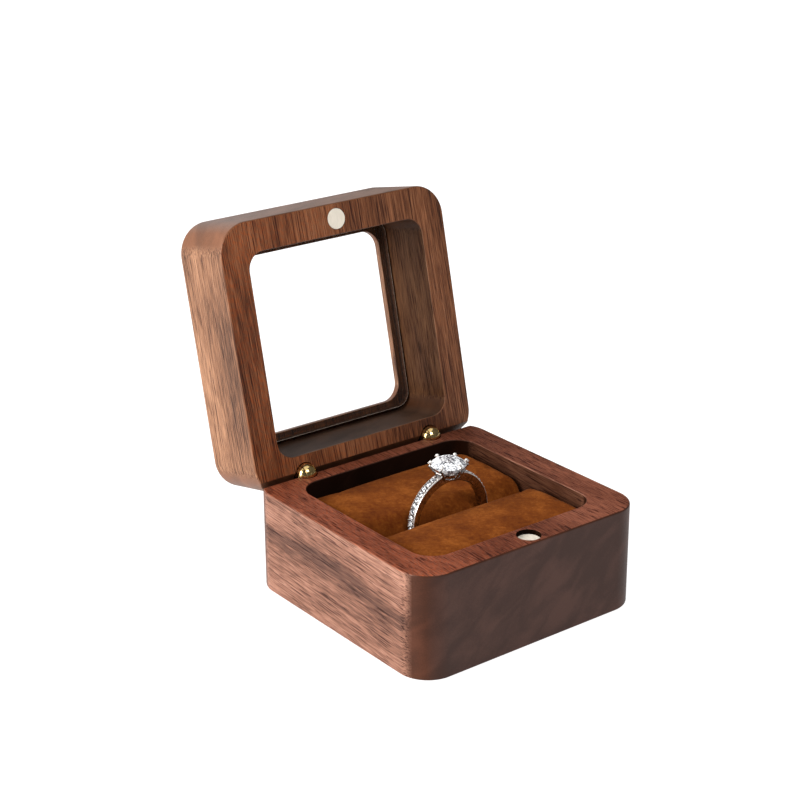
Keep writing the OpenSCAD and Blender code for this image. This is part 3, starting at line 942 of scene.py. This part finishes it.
def tube(bm, points, radii, sides=12):
    """A tapered wire along points, with rounded ends left to the beads."""
    rings = []
    for i, p in enumerate(points):
        ahead = points[min(i + 1, len(points) - 1)] - points[max(i - 1, 0)]
        u = ahead.cross(Vector((0, 0, 1)))
        if u.length < 1e-6:
            u = Vector((1, 0, 0))
        u.normalize()
        v = ahead.cross(u).normalized()
        rings.append([bm.verts.new(p + (u * math.cos(a) + v * math.sin(a)) * radii[i])
                      for a in (2 * math.pi * k / sides for k in range(sides))])
    for a, b in zip(rings, rings[1:]):
        for k in range(sides):
            n = (k + 1) % sides
            bm.faces.new((a[k], a[n], b[n], b[k]))
    bm.faces.new(rings[0][::-1])
    bm.faces.new(rings[-1])


def on_band(turn, lift=0.0, across=0.0):
    """Matrix of a place on the band's outer face, turned from the top by degrees."""
    return (Matrix.Translation((0, RING_Y, RING_Z)) @ Matrix.Rotation(math.radians(turn), 4, "Y")
            @ Matrix.Translation((0, across, RING_R + lift)))


def make_band():
    """The shank: a rounded square section run round the finger, thinner at the bottom."""
    around, edge = 144, BAND_EDGE_R
    half = BAND_W / 2
    bm = bmesh.new()
    rings = []
    for i in range(around):
        a = 2 * math.pi * i / around
        out = RING_R
        drop = SHANK_TAPER * math.cos(a)
        into = math.sqrt(FINGER_R ** 2 - (SHANK_TAPER * math.sin(a)) ** 2) - drop
        section = [(half, into + edge), (half, out - edge), (half - edge * 0.3, out - edge * 0.3),
                   (half - edge, out), (0, out), (-half + edge, out),
                   (-half + edge * 0.3, out - edge * 0.3), (-half, out - edge),
                   (-half, into + edge), (-half + edge, into), (0, into - INNER_CROWN),
                   (half - edge, into)]
        rings.append([bm.verts.new((r * math.sin(a), RING_Y + y, RING_Z + r * math.cos(a)))
                      for y, r in section])
    for i in range(around):
        a, b = rings[i], rings[(i + 1) % around]
        for k in range(len(a)):
            n = (k + 1) % len(a)
            bm.faces.new((a[k], a[n], b[n], b[k]))
    band = to_object(bm, "ring_band_metal")
    seat = bmesh.new()
    seat_z = GIRDLE_Z - GIRDLE_T / 2 - SEAT_GAP - PAVILION_H / 2
    bmesh.ops.create_cone(seat, cap_ends=True, segments=32, radius1=0.01,
                          radius2=STONE_R + SEAT_GAP, depth=PAVILION_H,
                          matrix=Matrix.Translation((0, RING_Y, seat_z)))
    cut(band, to_object(seat, "seat"))
    shade(band, 40)
    # Painted shade on the band, with a painted highlight on its outer edge faces.
    finish_piece(band, SHADED_SILVER, "base", "silver", "ring_band")
    band.data.materials.append(HIGHLIT_SILVER)
    for face in band.data.polygons:
        x, y, z = face.center / MM
        if math.hypot(x, z - RING_Z) > RING_R - edge * 0.9 and abs(y - RING_Y) > half - edge:
            face.material_index = 1


def make_head():
    """Claws with beads at their tips, on two gallery rails."""
    foot_z = RING_Z + RING_R - 1.2
    foot_r, top_r = 2.15, STONE_R + 0.32
    top_z = GIRDLE_Z + 0.45
    bm = bmesh.new()
    for i in range(PRONGS):
        a = math.radians(PRONG_TURN + 360 * i / PRONGS)
        path = []
        for r, z in ((foot_r, foot_z), (foot_r + (top_r - foot_r) * 0.55, foot_z + 1.7),
                     (top_r, GIRDLE_Z - 0.2), (top_r + 0.02, top_z - 0.05),
                     (top_r - 0.35, top_z + 0.22)):
            path.append(Vector((r * math.cos(a), RING_Y + r * math.sin(a), z)))
        tube(bm, path, (0.28, 0.30, 0.32, 0.34, 0.32))
        ball(bm, Matrix.Translation(path[-1]), CLAW_BEAD_R, 10, 16)
        ball(bm, Matrix.Translation(path[0]), CLAW_FOOT_R)
    for share, z in ((0.06, foot_z + 0.25), (0.62, GIRDLE_Z - 1.15)):
        r = foot_r + (top_r - foot_r) * share
        rail = [Vector((r * math.cos(t), RING_Y + r * math.sin(t), z))
                for t in (2 * math.pi * k / 48 for k in range(49))]
        tube(bm, rail, [RAIL_R] * len(rail), 10)
    head = to_object(bm, "ring_head_metal")
    shade(head, 40, False)
    # Painted shade on the head, with a painted highlight on the claw tips above the girdle.
    finish_piece(head, SHADED_SILVER, "base", "silver", "ring_head")
    head.data.materials.append(HIGHLIT_SILVER)
    for face in head.data.polygons:
        if face.center.z / MM > GIRDLE_Z + 0.1:
            face.material_index = 1


def make_stones():
    bm = bmesh.new()
    brilliant(bm, Matrix.Translation((0, RING_Y, GIRDLE_Z)), STONE_R, CROWN_H, PAVILION_H,
              GIRDLE_T)
    finish_piece(to_object(bm, "centre_stone"), DIAMOND, "base", "diamond", "ring_stone")
    beads = bmesh.new()
    for side, word in ((-1, "left"), (1, "right")):
        bm = bmesh.new()
        for i in range(PAVE_COUNT):
            turn = side * (PAVE_FIRST + i * PAVE_STEP)
            brilliant(bm, on_band(turn, PAVE_LIFT), PAVE_R, PAVE_CROWN, PAVE_PAVILION,
                      PAVE_GIRDLE, PAVE_LIGHT)
            for gap in (-0.5, 0.5):
                for across in (-1, 1):
                    ball(beads, on_band(turn + gap * PAVE_STEP, GRAIN_LIFT,
                                        across * GRAIN_ACROSS), GRAIN_R)
        finish_piece(to_object(bm, word + "_shoulder_stones"), DIAMOND, "base", "diamond",
                     word + "_pave_stones")
    grains = to_object(beads, "setting_beads")
    # The setting beads are all painted highlight.
    finish_piece(shade(grains, 60, False), HIGHLIT_SILVER, "base", "silver")


# ---------------------------------------------------------------- studio
def make_stage():
    """The pale floor, just under the box so that the two never flicker."""
    bm = bmesh.new()
    bmesh.ops.create_grid(bm, x_segments=8, y_segments=8, size=6)
    floor = to_object(bm, "floor")
    floor.location.z = -FLOOR_DROP
    tree = Tree("floor_paper")
    grain = tree.noise(tree.place((0.02, 0.02, 0.02)), 1.0, 2.0)
    floor.data.materials.append(tree.surface(
        Base_Color=tree.ramp(grain, (0.3, (0.34, 0.34, 0.34)), (0.7, (0.36, 0.36, 0.36))),
        Roughness=0.9, Specular_IOR_Level=0.0, Emission_Color=(1, 1, 1, 1),
        Emission_Strength=0.88))


def area_light(name, azimuth, elevation, distance, size, power, colour=(1, 1, 1)):
    """A square light that looks at the box: azimuth 0 is in front, 90 on the right."""
    data = bpy.data.lights.new(name, "AREA")
    data.energy = power
    data.size = size
    data.color = colour
    lamp = bpy.data.objects.new(name, data)
    a, e = math.radians(azimuth), math.radians(elevation)
    toward = Vector((math.sin(a) * math.cos(e), -math.cos(a) * math.cos(e), math.sin(e)))
    lamp.location = Vector((0, 0, 0.03)) + toward * distance
    lamp.rotation_euler = toward.to_track_quat("Z", "Y").to_euler()
    bpy.context.scene.collection.objects.link(lamp)


def make_lights():
    """Soft light from the left, with weaker lights above, in front and behind."""
    world = bpy.data.worlds.new("studio")
    world.use_nodes = True
    back = world.node_tree.nodes["Background"]
    back.inputs["Color"].default_value = (1, 1, 1, 1)
    back.inputs["Strength"].default_value = 0.12
    bpy.context.scene.world = world
    area_light("key", -108, 14, 1.0, 0.8, 26.0, (1.0, 0.985, 0.96))
    area_light("top", -150, 78, 0.9, 1.1, 3.6)
    area_light("front", -8, 50, 0.9, 0.30, 3.1)
    area_light("back", 175, 20, 1.3, 1.2, 4.0)


CAMERA_AZIMUTH = -37.615
CAMERA_ELEVATION = 21.466
CAMERA_ROLL = -0.279
CAMERA_DISTANCE = 400.06
CAMERA_LENS = 83.85
CAMERA_AIM_Z = 21.82
CAMERA_RIGHT = -9.611
CAMERA_UP = 21.399


def make_camera():
    """Camera at the stated angle, moved sideways and up from the box's middle."""
    a, e, t = (math.radians(v) for v in (CAMERA_AZIMUTH, CAMERA_ELEVATION, CAMERA_ROLL))
    back = Vector((math.sin(a) * math.cos(e), -math.cos(a) * math.cos(e), math.sin(e)))
    level_right = Vector((math.cos(a), math.sin(a), 0))
    level_up = back.cross(level_right)
    right = level_right * math.cos(t) + level_up * math.sin(t)
    up = level_up * math.cos(t) - level_right * math.sin(t)
    place = (Vector((0, 0, CAMERA_AIM_Z)) + back * CAMERA_DISTANCE + right * CAMERA_RIGHT
             + up * CAMERA_UP)
    data = bpy.data.cameras.new("camera")
    data.lens = CAMERA_LENS
    data.sensor_width = 36
    data.clip_start = 0.01
    camera = bpy.data.objects.new("camera", data)
    turn = Matrix((right, up, back)).transposed().to_4x4()
    camera.matrix_world = Matrix.Translation(place * MM) @ turn
    bpy.context.scene.collection.objects.link(camera)
    bpy.context.scene.camera = camera


make_base()
make_lid()
make_hinge("left", -HINGE_X)
make_hinge("right", HINGE_X)
make_magnets()
make_pads()
make_band()
make_head()
make_stones()
make_stage()
make_lights()
make_camera()
bpy.context.scene.view_settings.view_transform = "Standard"
